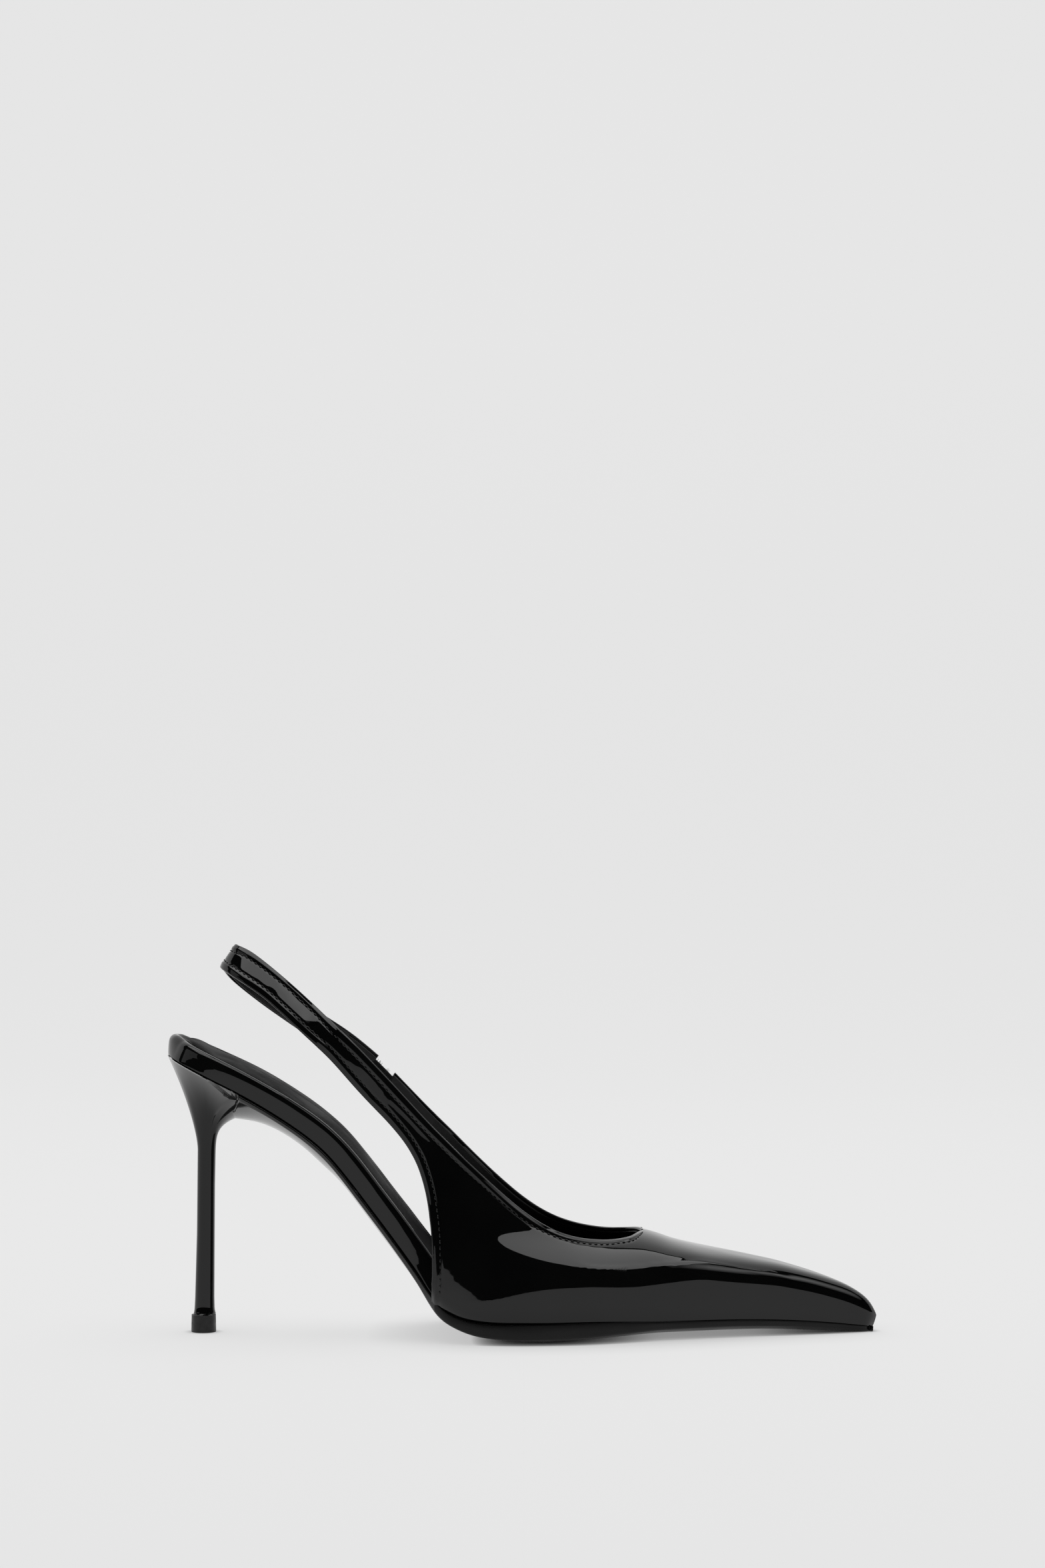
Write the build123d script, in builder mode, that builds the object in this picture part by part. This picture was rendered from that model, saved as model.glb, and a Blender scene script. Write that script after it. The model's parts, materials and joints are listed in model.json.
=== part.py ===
from build123d import *
import os
from math import cos, hypot, radians, sin

# High-heeled slingback pump, right shoe, pointed toe. Sizes in mm.
# +X points to the toe, +Y to the inner side of the foot, +Z up, and the floor is z = 0.

# --- Driving dimensions -------------------------------------------------------------------
LENGTH = 242.4            # heel back to toe tip
HALF_LENGTH = LENGTH / 2
HALF_SPAN = 60            # more than half the width, for cutting bodies
TALL = 160                # more than the height, for cutting bodies

# Layers of the bottom, measured square to the seat line, which is the top of the outsole
OUTSOLE_SKIN = 1.7
MARGIN = 0.9              # lasting margin of the vamp, turned under the insole board
MARGIN_TOP = 1.75         # top of the lining's lasting margin
BOARD_TOP = 3.8
FOAM_TOP = 7.0
SOCK_TOP = 7.9
WRAP_TOP = 8.0
WRAP_WALL = 2.4
CORE_INSET = 3.3          # the board, foam and sock stand this far inside the sole outline

# Layers of the upper, measured in from its outer face
VAMP_LEATHER = 0.9
PUFF_FROM, PUFF_TO = 0.95, 1.45
LINING_FROM, LINING_TO = 1.5, 2.3
PUFF_START = 84           # x where the toe puff begins

# Sling strap: outer, reinforcing tape and lining
STRAP_OUTER = 0.9
STRAP_TAPE = 1.1
STRAP_LINING = 1.9
HINGE_X, HINGE_Z = -50, 85
KNUCKLE = 4.5             # half the strap's width where it leaves the wings
CLEARANCE = 0.6
STRAP_SLOPE = 46          # degrees above level at the wings, towards the back
LOOP_SLOPE = 40.6         # degrees above level of the whole loop
ELASTIC_END = 9.5         # length of the elastic, from the pivot to the strap's inner end

# Heel
BREAST_X = -98.6
SOLE_TUCK = 5             # how far the outsole runs back beside the heel's breast
STEM_X = -108.6
TUBE_RADIUS, DOWEL_RADIUS = 1.5, 1.0
COVER = 0.6
TIP_HEIGHT = 5.9
TIP_GROOVE = 0.3
SCREW_X, SCREW_LENGTH, SCREW_HEAD = -109.4, 16, 1.2
NAILS = [(-113.4, -9), (-113.4, 9), (-104.6, -12), (-104.6, 12)]
NAIL_LENGTH = 9
HEAD_DEPTH = 1.8          # tops of the heel's screw and nails, below the top of the board

# Wrap and board ends behind the vamp
WING_BACK_X = -30.7

# --- Outlines -----------------------------------------------------------------------------
# Seat line in side view, from the heel back to the toe tip
SEAT_LINE = [
    (-124, 95.9), (-108, 88.3), (-96, 82.5), (-82, 74.6), (-68, 64.1), (-52, 44.4), (-40, 28.4),
    (-30, 16.4), (-20, 8.6), (-8, 5.0), (10, 4.2), (45, 5.2), (80, 4.9), (124, 2.0),
]

# Sole outline seen from above, from the toe tip along the outer side, round the heel and back
SOLE_OUTLINE = [
    (119.6, -1.2), (96, -11.6), (66, -22.4), (34, -32.6), (6, -38.3), (-16, -37.2), (-40, -27),
    (-64, -22.6), (-88, -24.6), (-106, -22.4), (-117.6, -13), (-HALF_LENGTH + 0.4, 0),
    (-117.6, 13), (-106, 22), (-88, 22.8), (-62, 18.6), (-38, 23), (-12, 34.6), (12, 38.4),
    (42, 33.4), (72, 23.2), (98, 13), (119.6, 4.4),
]
TOE_TIP = (HALF_LENGTH - 0.3, 1.8)

# Space under the board that the lasting margins leave, filled with felt
FILLER_OUTLINE = [(-24, -16), (-6, -25), (16, -25), (46, -16), (82, 1), (50, 17), (18, 26), (-8, 21), (-24, 13)]

# Underside across the sole: x, height at its edges, height along its middle
UNDERSIDE = [
    (-105, 85.6, 74.4), (-98, 81.6, 73.2), (-86, 75.2, 70.2), (-74, 67.2, 62.8), (-62, 55.4, 51.8), (-50, 39.8, 36.2),
    (-38, 23.9, 20.9), (-28, 12.4, 9.6), (-16, 4.7, 2.6), (-4, 2.2, 0.4), (8, 1.3, 0), (40, 3, 2),
    (75, 3, 2.2), (105, 1.2, 0.5), (122, 0.6, 0),
]

# Upper across the foot: x, outer and inner half width, width share, and height of the shoulder, crown
UPPER = [
    (-58, 23.4, 22.6, 0.93, 106, 116), (-44, 27.4, 26, 0.94, 92, 104), (-30, 32.6, 30, 0.94, 78, 92),
    (-15, 38.2, 36.4, 0.86, 61, 72), (0, 39.4, 39, 0.81, 48, 56), (14, 38.2, 39.4, 0.73, 40.5, 45),
    (28, 35.2, 37, 0.6, 36.4, 40), (44, 30.6, 32.2, 0.46, 32.4, 34.2), (62, 24.4, 25.6, 0.42, 27.6, 29.4),
    (82, 17, 17.8, 0.42, 23.4, 25.2), (101, 9.9, 10.9, 0.42, 18.4, 20.2), (113, 5.2, 6, 0.45, 13, 14.6),
]
TOE_END = (HALF_LENGTH - 0.4, 1.7, 2, 0.5, 7.4, 8.4)
TOE_SHIFT = 1.8           # the toe's point lies this far to the inner side
BELLY = 9                 # height of the upper's widest line above the seat line

# Side view of the upper: topline from the pivot to the throat, then the wing's back edge
TOPLINE = [(-46.6, 88.2), (-33.4, 74.1), (-14.6, 56.1), (0.3, 42.7), (14.6, 35.5), (29.1, 33.3), (41, 35.6)]
WING_EDGE = [(-30.7, 13.2), (-30, 30), (-31.5, 45), (-37, 63.6), (-46.9, 76), (-53.4, 81.8)]

# Side view of the sling strap, from its back end to the pivot
STRAP_UPPER_EDGE = [(-99, 132.4), (-90, 128), (-80, 120), (-66, 107.4)]
STRAP_LOWER_EDGE = [(-104.4, 125.2), (-95, 120), (-84, 111.6), (-70, 98.6)]

# Half of the strap's loop, seen square to it: distance behind the pivot, distance from the middle
LOOP = [(-9, 27.6), (0, 26.4), (25, 23.2), (46, 18.8), (61, 12), (66.4, 5.4)]
LOOP_BACK = 68

# Heel across its height: z, back, front, half width
HEEL = [
    (100, -122.8, -90, 26), (92, -120.2, -91, 24.6), (86, -118.2, -92.6, 21), (80, -115.9, -95.6, 14.6),
    (75, -113.8, -99.2, 8.9), (71, -112.5, -102.8, 5.6), (66, -111.8, -104.6, 3.9), (58, -111.7, -105.3, 3.2),
    (34, -111.7, -105.6, 3.05), (12, -112.1, -105.6, 3.2), (7.4, -112.3, -105.5, 3.35), (6.2, -112.6, -105.1, 3.7),
]

os.makedirs("parts", exist_ok=True)


# --- Shared bodies ------------------------------------------------------------------------
def shifted(points, distance):
    """The points, each moved square to the line through its neighbours: up on a seat line."""
    moved = []
    for i, (x, z) in enumerate(points):
        before, after = points[max(i - 1, 0)], points[min(i + 1, len(points) - 1)]
        run, rise = after[0] - before[0], after[1] - before[1]
        scale = distance / hypot(run, rise)
        moved.append((x - rise * scale, z + run * scale))
    return moved


def height_at(line, x):
    """Height of a side-view line of points at x."""
    for (x0, z0), (x1, z1) in zip(line, line[1:]):
        if x <= x1:
            return z0 + (z1 - z0) * (x - x0) / (x1 - x0)
    return line[-1][1]


def layer(bottom, top):
    """A slab across the whole shoe between two distances above the seat line."""
    low, high = shifted(SEAT_LINE, bottom), shifted(SEAT_LINE, top)
    with BuildPart() as slab:
        with BuildSketch(Plane.XZ):
            with BuildLine():
                Spline(*low)
                Line(low[-1], high[-1])
                Spline(*high)
                Line(high[0], low[0])
            make_face()
        extrude(amount=HALF_SPAN, both=True)
    return slab.part


def above_seat(distance):
    """Everything above the seat line raised by a distance."""
    low = shifted(SEAT_LINE, distance)
    with BuildPart() as block:
        with BuildSketch(Plane.XZ):
            with BuildLine():
                Spline(*low)
                Polyline(low[-1], (low[-1][0], TALL), (low[0][0], TALL), low[0])
            make_face()
        extrude(amount=HALF_SPAN, both=True)
    return block.part


def footprint(inset):
    """A tall prism of the sole outline, moved in by inset."""
    points = shifted(SOLE_OUTLINE, -inset)
    if inset > 1:
        points = points[1:-1]
    with BuildPart() as prism:
        with BuildSketch(Plane.XY.offset(-5)):
            with BuildLine():
                Spline(*points)
                ThreePointArc(points[-1], (TOE_TIP[0] - inset * 4, TOE_TIP[1]), points[0])
            make_face()
        extrude(amount=TALL)
    return prism.part


def filler_prism():
    """A tall prism of the space between the lasting margins."""
    with BuildPart() as prism:
        with BuildSketch(Plane.XY.offset(-5)):
            with BuildLine():
                Spline(*FILLER_OUTLINE, periodic=True)
            make_face()
        extrude(amount=TALL)
    return prism.part


def crowned_sole(skin):
    """The space above the crowned underside, raised by the skin."""
    with BuildPart() as body:
        for x, edge, middle in UNDERSIDE:
            half = 26 + 16 * max(0, min(1, (x + 60) / 50))
            top = height_at(SEAT_LINE, x) + 12
            with BuildSketch(Plane.YZ.offset(x)):
                with BuildLine():
                    arc = ThreePointArc((-half, edge + skin), (0, middle + skin), (half, edge + skin))
                    Polyline(arc @ 1, (half, top), (-half, top), arc @ 0)
                make_face()
        loft(ruled=True)
    return body.part


def lasted(inset, floor):
    """The upper's outer form, moved in by inset and cut off at a distance above the seat line."""
    toe_x, toe_outer, toe_inner, toe_share, toe_shoulder, toe_crown = TOE_END
    stations = [(x, outer - inset, inner - inset, share, shoulder - inset, crown - inset)
                for x, outer, inner, share, shoulder, crown in UPPER]
    stations.append((toe_x - 2.2 * inset, toe_outer, toe_inner, toe_share, toe_shoulder, toe_crown))
    with BuildPart() as form:
        for x, outer, inner, share, shoulder, crown in stations:
            seat = height_at(SEAT_LINE, x)
            belly = min(seat + BELLY, (seat + shoulder) / 2)
            middle = TOE_SHIFT * max(0, x) / HALF_LENGTH
            with BuildSketch(Plane.YZ.offset(x)):
                with BuildLine():
                    left = Spline((middle - outer * 0.95, seat - 3), (middle - outer, belly),
                                  (middle - outer * share, shoulder))
                    right = Spline((middle + inner * share, shoulder), (middle + inner, belly),
                                   (middle + inner * 0.95, seat - 3))
                    ThreePointArc(left @ 1, (middle, crown), right @ 0)
                    Line(right @ 1, left @ 0)
                make_face()
        loft(ruled=True)
        add(above_seat(floor), mode=Mode.INTERSECT)
    return form.part


def upper_side_view():
    """A prism of the upper in side view, under the topline and in front of the wing's back edge."""
    with BuildPart() as prism:
        with BuildSketch(Plane.XZ):
            with BuildLine():
                Spline(*TOPLINE)
                Polyline(TOPLINE[-1], (TOPLINE[-1][0] + 0.4, TALL), (TALL, TALL), (TALL, -5),
                         (WING_EDGE[0][0], -5), WING_EDGE[0])
                Spline(*WING_EDGE)
                Line(WING_EDGE[-1], TOPLINE[0])
            make_face()
            with Locations((HINGE_X, HINGE_Z)):
                Circle(KNUCKLE + CLEARANCE, mode=Mode.SUBTRACT)
        extrude(amount=HALF_SPAN, both=True)
    return prism.part


def strap_side_view(edge_inset):
    """A prism of the strap in side view, with its edges moved in and its round end on the pivot."""
    along = (-cos(radians(STRAP_SLOPE)), sin(radians(STRAP_SLOPE)))
    reach = KNUCKLE - edge_inset
    top = (HINGE_X + along[1] * reach, HINGE_Z - along[0] * reach)
    bottom = (HINGE_X - along[1] * reach, HINGE_Z + along[0] * reach)
    front = (HINGE_X - along[0] * reach, HINGE_Z - along[1] * reach)
    upper, lower = shifted(STRAP_UPPER_EDGE, -edge_inset), shifted(STRAP_LOWER_EDGE, edge_inset)
    with BuildPart() as prism:
        with BuildSketch(Plane.XZ):
            with BuildLine():
                Spline(*upper, top)
                ThreePointArc(top, front, bottom)
                Spline(bottom, *reversed(lower))
                Line(lower[0], upper[0])
            make_face()
        extrude(amount=HALF_SPAN, both=True)
    return prism.part


def strap_loop(inset):
    """A prism of the loop that the strap makes, moved in by inset, square to the strap."""
    slope = radians(LOOP_SLOPE)
    plane = Plane(origin=(HINGE_X, 0, HINGE_Z), x_dir=(-cos(slope), 0, sin(slope)),
                  z_dir=(-sin(slope), 0, -cos(slope)))
    half = [(s, -y) for s, y in LOOP] + [(LOOP_BACK, 0)]
    points = half + [(s, -y) for s, y in reversed(half[:-1])]
    points = shifted(points, inset)
    with BuildPart() as prism:
        with BuildSketch(plane):
            with BuildLine():
                Spline(*points)
                Line(points[-1], points[0])
            make_face()
        extrude(amount=HALF_SPAN, both=True)
    return prism.part


def heel_form(inset):
    """The heel's funnel and stem, moved in by inset."""
    with BuildPart() as form:
        for z, back, front, half in HEEL:
            with BuildSketch(Plane.XY.offset(z)):
                with Locations(((back + front) / 2, 0)):
                    Ellipse((front - back) / 2 - inset, half - inset)
        loft(ruled=True)
    return form.part


def seat_plane(x, distance):
    """A plane on the seat line at x, raised by a distance, with its normal square to the line."""
    z0, z1 = height_at(SEAT_LINE, x - 1), height_at(SEAT_LINE, x + 1)
    length = hypot(2, z1 - z0)
    normal = (-(z1 - z0) / length, 0, 2 / length)
    base = height_at(SEAT_LINE, x)
    return Plane(origin=(x + normal[0] * distance, 0, base + normal[2] * distance),
                 x_dir=(0, 1, 0), z_dir=normal)


# --- Fasteners ----------------------------------------------------------------------------
def head_height(x):
    """Height of a fastener's head, sunk into the insole board at x."""
    return height_at(shifted(SEAT_LINE, BOARD_TOP), x) - HEAD_DEPTH


with BuildPart() as heel_screw:
    with BuildSketch(Plane.XY.offset(head_height(SCREW_X) - SCREW_HEAD)):
        with Locations((SCREW_X, 0)):
            Circle(3.2)
    extrude(amount=SCREW_HEAD)
    with BuildSketch(Plane.XY.offset(head_height(SCREW_X) - SCREW_HEAD)):
        with Locations((SCREW_X, 0)):
            Circle(1.7)
    extrude(amount=-SCREW_LENGTH)

with BuildPart() as heel_nails:
    for x, y in NAILS:
        with BuildSketch(Plane.XY.offset(head_height(x))):
            with Locations((x, y)):
                Circle(0.7)
        extrude(amount=-NAIL_LENGTH)

with BuildPart() as shank_rivets:
    for x in (-93, -40):
        with BuildSketch(seat_plane(x, MARGIN_TOP)):
            Circle(1.8)
        extrude(amount=-2.4)

# --- Heel ---------------------------------------------------------------------------------
heel_outer, heel_inner = heel_form(0), heel_form(COVER)
under_seat = layer(-140, 0)

with BuildPart() as heel_tube:
    with BuildSketch(Plane.XY.offset(7)):
        with Locations((STEM_X, 0)):
            Circle(TUBE_RADIUS)
            Circle(DOWEL_RADIUS, mode=Mode.SUBTRACT)
    extrude(amount=62)

with BuildPart() as tip_dowel:
    with BuildSketch(Plane.XY.offset(1.6)):
        with Locations((STEM_X, 0)):
            Circle(DOWEL_RADIUS)
    extrude(amount=18)

with BuildPart() as heel_tip:
    with BuildSketch():
        with Locations((-109.25, 0)):
            Ellipse(4.25, 4.3)
    extrude(amount=TIP_HEIGHT, taper=1)
    fillet(heel_tip.edges().group_by(Axis.Z)[0], radius=0.3)
    add(tip_dowel.part, mode=Mode.SUBTRACT)

with BuildPart() as heel_core:
    add(heel_inner)
    add(under_seat, mode=Mode.INTERSECT)
    split(bisect_by=Plane.YZ.offset(BREAST_X - COVER), keep=Keep.BOTTOM)
    add(footprint(COVER), mode=Mode.INTERSECT)
    for inner_piece in (heel_tube, tip_dowel, heel_screw, heel_nails):
        add(inner_piece.part, mode=Mode.SUBTRACT)

with BuildPart() as heel_cover:
    add(heel_outer)
    add(under_seat, mode=Mode.INTERSECT)
    split(bisect_by=Plane.YZ.offset(BREAST_X), keep=Keep.BOTTOM)
    add(footprint(0), mode=Mode.INTERSECT)
    add(heel_core.part, mode=Mode.SUBTRACT)
    for inner_piece in (heel_tube, tip_dowel, heel_screw, heel_nails):
        add(inner_piece.part, mode=Mode.SUBTRACT)

# --- Bottom -------------------------------------------------------------------------------
sole_space, shank_space = crowned_sole(0), crowned_sole(OUTSOLE_SKIN)
outline, core_outline = footprint(0), footprint(CORE_INSET)

with BuildPart() as shank_cavity:
    add(shank_space)
    add(core_outline, mode=Mode.INTERSECT)
    split(bisect_by=Plane.YZ.offset(WING_BACK_X - 1), keep=Keep.BOTTOM)
    split(bisect_by=Plane.YZ.offset(BREAST_X + OUTSOLE_SKIN), keep=Keep.TOP)

with BuildPart() as outsole:
    add(sole_space)
    add(under_seat, mode=Mode.INTERSECT)
    add(outline, mode=Mode.INTERSECT)
    split(bisect_by=Plane.YZ.offset(BREAST_X - SOLE_TUCK), keep=Keep.TOP)
    add(heel_outer, mode=Mode.SUBTRACT)
    add(shank_cavity.part, mode=Mode.SUBTRACT)

with BuildPart() as steel_shank:
    add(layer(0.4, 1.4))
    with BuildSketch(Plane.XY.offset(-5)):
        with Locations((-68.5, 0)):
            SlotOverall(70, 12)
    extrude(amount=TALL, mode=Mode.INTERSECT)
    add(shank_rivets.part, mode=Mode.SUBTRACT)

with BuildPart() as board_blank:
    add(shank_space)
    add(layer(-140, MARGIN_TOP), mode=Mode.INTERSECT)
    add(core_outline, mode=Mode.INTERSECT)
    split(bisect_by=Plane.YZ.offset(WING_BACK_X - 1), keep=Keep.BOTTOM)
    for other in (outsole, heel_core, heel_cover, steel_shank, shank_rivets, heel_screw, heel_nails):
        add(other.part, mode=Mode.SUBTRACT)

with BuildPart() as shank_board:
    add(board_blank.solids().sort_by(SortBy.VOLUME)[-1])

# --- Upper --------------------------------------------------------------------------------
side_view, margin_gap = upper_side_view(), filler_prism()

with BuildPart() as bottom_filler:
    add(layer(0, MARGIN_TOP))
    add(margin_gap, mode=Mode.INTERSECT)

with BuildPart() as vamp:
    add(lasted(0, 0))
    add(lasted(VAMP_LEATHER, MARGIN), mode=Mode.SUBTRACT)
    add(side_view, mode=Mode.INTERSECT)
    add(bottom_filler.part, mode=Mode.SUBTRACT)

with BuildPart() as toe_puff:
    add(lasted(PUFF_FROM, MARGIN_TOP))
    add(lasted(PUFF_TO, MARGIN_TOP), mode=Mode.SUBTRACT)
    split(bisect_by=Plane.YZ.offset(PUFF_START), keep=Keep.TOP)

with BuildPart() as vamp_lining:
    add(lasted(LINING_FROM, MARGIN))
    add(lasted(LINING_TO, MARGIN_TOP), mode=Mode.SUBTRACT)
    add(side_view, mode=Mode.INTERSECT)
    add(bottom_filler.part, mode=Mode.SUBTRACT)

# --- Footbed ------------------------------------------------------------------------------
def footbed_layer(bottom, top, inset):
    """A layer of the footbed: inside the wrap at the back and inside the lining at the front."""
    with BuildPart() as bed:
        add(layer(bottom, top))
        add(footprint(inset), mode=Mode.INTERSECT)
        for around in (toe_puff, vamp_lining, vamp):
            add(around.part, mode=Mode.SUBTRACT)
    return bed.solids().sort_by(SortBy.VOLUME)[-1]


with BuildPart() as insole_board:
    add(footbed_layer(MARGIN_TOP, BOARD_TOP, CORE_INSET))
    for fastener in (heel_screw, heel_nails, shank_rivets):
        add(fastener.part, mode=Mode.SUBTRACT)

with BuildPart() as footbed_foam:
    add(footbed_layer(BOARD_TOP, FOAM_TOP, CORE_INSET))

with BuildPart() as sock_lining:
    add(footbed_layer(FOAM_TOP, SOCK_TOP, CORE_INSET))

with BuildPart() as insole_wrap:
    add(layer(0, WRAP_TOP))
    add(outline, mode=Mode.INTERSECT)
    add(core_outline, mode=Mode.SUBTRACT)
    split(bisect_by=Plane.YZ.offset(WING_BACK_X - 0.3), keep=Keep.BOTTOM)

# --- Sling strap --------------------------------------------------------------------------
strap_band, tape_band = strap_side_view(0), strap_side_view(1.6)
elastic_plane = Plane(
    origin=(HINGE_X - cos(radians(STRAP_SLOPE)) * ELASTIC_END, 0, HINGE_Z + sin(radians(STRAP_SLOPE)) * ELASTIC_END),
    z_dir=(-cos(radians(STRAP_SLOPE)), 0, sin(radians(STRAP_SLOPE))),
)


def strap_ply(band, start, end):
    """One ply of the strap, between two depths from its outer face."""
    with BuildPart() as ply:
        add(band)
        add(strap_loop(start), mode=Mode.INTERSECT)
        add(strap_loop(end), mode=Mode.SUBTRACT)
    return ply.part


with BuildPart() as elastic_space:
    add(strap_ply(strap_band, -0.5, STRAP_LINING + 0.5))
    split(bisect_by=Plane.XZ, keep=Keep.BOTTOM)
    split(bisect_by=elastic_plane, keep=Keep.BOTTOM)

with BuildPart() as elastic_gore:
    add(strap_ply(strap_band, 0.3, 1.6))
    add(elastic_space.part, mode=Mode.INTERSECT)

strap_plies = {}
for ply_name, band, start, end in (
    ("strap_outer", strap_band, 0, STRAP_OUTER),
    ("strap_tape", tape_band, STRAP_OUTER, STRAP_TAPE),
    ("strap_lining", strap_band, STRAP_TAPE, STRAP_LINING),
):
    with BuildPart() as ply:
        add(strap_ply(band, start, end))
        add(elastic_space.part, mode=Mode.SUBTRACT)
    strap_plies[ply_name] = ply

# --- Written parts ------------------------------------------------------------------------
pieces = {
    "outsole": outsole, "shank_board": shank_board, "steel_shank": steel_shank,
    "shank_rivets": shank_rivets, "insole_board": insole_board, "insole_wrap": insole_wrap,
    "footbed_foam": footbed_foam, "sock_lining": sock_lining, "bottom_filler": bottom_filler,
    "vamp": vamp, "vamp_lining": vamp_lining, "toe_puff": toe_puff,
    "elastic_gore": elastic_gore, **strap_plies,
    "heel_core": heel_core, "heel_cover": heel_cover, "heel_tube": heel_tube, "heel_tip": heel_tip,
    "tip_dowel": tip_dowel, "heel_screw": heel_screw, "heel_nails": heel_nails,
}
for name, piece in pieces.items():
    piece.part.label = name
    export_step(piece.part, f"parts/{name}.step")
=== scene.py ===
import json
import math

import bmesh
import bpy
import numpy as np
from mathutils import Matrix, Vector


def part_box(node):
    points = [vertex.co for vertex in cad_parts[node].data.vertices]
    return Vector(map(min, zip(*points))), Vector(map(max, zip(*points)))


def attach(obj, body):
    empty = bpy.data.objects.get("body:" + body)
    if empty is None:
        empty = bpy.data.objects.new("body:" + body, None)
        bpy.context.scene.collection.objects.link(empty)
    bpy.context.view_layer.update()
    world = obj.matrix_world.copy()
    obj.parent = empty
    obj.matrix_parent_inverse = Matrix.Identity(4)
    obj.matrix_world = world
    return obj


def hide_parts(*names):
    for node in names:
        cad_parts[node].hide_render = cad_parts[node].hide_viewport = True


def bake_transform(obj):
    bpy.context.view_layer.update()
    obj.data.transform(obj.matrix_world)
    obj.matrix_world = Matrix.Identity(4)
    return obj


# A black patent slingback pump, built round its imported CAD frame.
# Shapes are worked out in millimetres, in the frame's axes: +X toe, +Y inner side, +Z up.

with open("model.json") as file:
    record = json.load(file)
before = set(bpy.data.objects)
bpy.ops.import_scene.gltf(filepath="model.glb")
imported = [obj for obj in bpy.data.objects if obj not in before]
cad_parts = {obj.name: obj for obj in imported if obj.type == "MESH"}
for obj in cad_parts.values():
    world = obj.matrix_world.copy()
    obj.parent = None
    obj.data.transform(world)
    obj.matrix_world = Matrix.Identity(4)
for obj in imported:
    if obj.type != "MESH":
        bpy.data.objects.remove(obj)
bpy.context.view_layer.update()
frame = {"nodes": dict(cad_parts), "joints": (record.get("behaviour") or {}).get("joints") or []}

MM = 0.001
rng = np.random.default_rng(7)


def box_mm(node):
    """A CAD node's lowest and highest corners, in millimetres."""
    return np.array(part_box(node)) / MM


# --- Driving dimensions, from the frame ---
TOE_X = box_mm("outsole")[1][0]
HEEL_X = box_mm("insole_wrap")[0][0]
JOINT = next(j for j in frame["joints"] if j["name"] == "strap_swing")
PIVOT = np.array(JOINT["pos_m"]) / MM

LEATHER = 1.3             # folded patent at an edge
LINING = 0.8
STITCH_INSET = 2.3
STITCH_PITCH = 2.1

# --- Side-view curves ---
# Seam between the outsole and what stands on it, at the shoe's side
SEAM = [
    (HEEL_X, 94.4), (-108, 88.4), (-96, 82.6), (-82, 74.5), (-68, 64), (-52, 44.4), (-40, 28.6),
    (-34, 20.4), (-30, 14), (-25, 10), (-18, 7.9), (-8, 7.1), (8, 7.2), (24, 7.5), (48, 7),
    (68, 6.7), (88, 5.7), (108, 3.6), (TOE_X, 1.7),
]
# Topline from the pivot to the throat
TOPLINE = [
    (-46.6, 88.2), (-41.5, 82.8), (-33.4, 74.3), (-25, 66.1), (-14.6, 56.1), (-6.8, 49), (0.3, 43.2),
    (7.5, 38.6), (14.6, 35.6), (21.8, 34), (29.1, 33.4), (36.4, 34), (41, 34.8),
]
# Wing's back edge from the pivot down to the sole
WING_EDGE = [
    (-53.4, 81.8), (-45.3, 74), (-38.1, 65), (-34.4, 57.6), (-31.6, 46.7), (-30.2, 33.4), (-30.1, 23),
    (-30.7, 13.4),
]
# Top of the upper: the real ridge in front of the throat, and behind it the height that shapes the walls
RIDGE = [
    (-62, 230), (-33.4, 185), (-14.6, 96), (0.3, 60.8), (14.6, 44.5), (21.8, 39.6), (29.1, 37),
    (36.4, 35.8), (41, 34.8), (46, 33.3), (51, 31.5), (60, 29.2), (69.4, 27.3), (78.5, 25.5), (87.6, 23.7),
    (96.7, 21.2), (105.8, 18), (111, 15.7), (115, 13.3), (117.5, 11.3), (119.3, 9.2), (120.3, 7.5),
    (TOE_X, 5.2),
]
# Half widths of the upper at its belly
OUTER_WIDTH = [
    (-62, 22.6), (-44, 27.4), (-30, 31.8), (-15, 37.4), (0, 39), (14, 38), (28, 35.2), (44, 30.4),
    (62, 24), (82, 16.6), (101, 9.6), (112, 5.6), (116, 4.2), (118.5, 2.9), (120.2, 1.5), (TOE_X, 0),
]
INNER_WIDTH = [
    (-62, 21.8), (-44, 26.4), (-30, 29.8), (-15, 35.8), (0, 38.6), (14, 39), (28, 36.8), (44, 32),
    (62, 25.2), (82, 17.4), (101, 10.4), (112, 6), (116, 4.4), (118.5, 3), (120.2, 1.5), (TOE_X, 0),
]
TOE_SHIFT = 1.8
# Shoulder over the ball of the foot: its height and how far it draws the wall in
SHOULDER = [(-62, 44), (-30, 40), (-6, 34.5), (12, 31), (26, 29), (40, 28), (TOE_X, 20)]
SHOULDER_DEPTH = [
    (-62, 0), (-36, 0), (-27, 0.8), (-18, 3.8), (-10, 6), (-2, 6.6), (8, 6.2), (18, 4.4), (28, 2), (40, 0.3),
    (52, 0), (TOE_X, 0),
]
# Height of the belly above the seam, and how much the wall leans in above it
BELLY_RISE = [(-62, 5), (-22, 5), (-12, 7), (0, 9.5), (14, 11), (TOE_X, 11)]
LEAN = [(-62, 0.05), (-24, 0.055), (-10, 0.05), (6, 0.02), (20, 0), (TOE_X, 0)]
# Edge of the toe puff, faintly raised under the leather, in side view
PUFF_LINE = [
    (17, 28), (22, 26.2), (30, 25.2), (37, 24.9), (43, 25.8), (48, 26.3), (56, 26.2), (65, 25.1), (74, 23.6),
    (84, 21.3), (96, 17.6),
]
PUFF_STEP = 0.2

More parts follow.
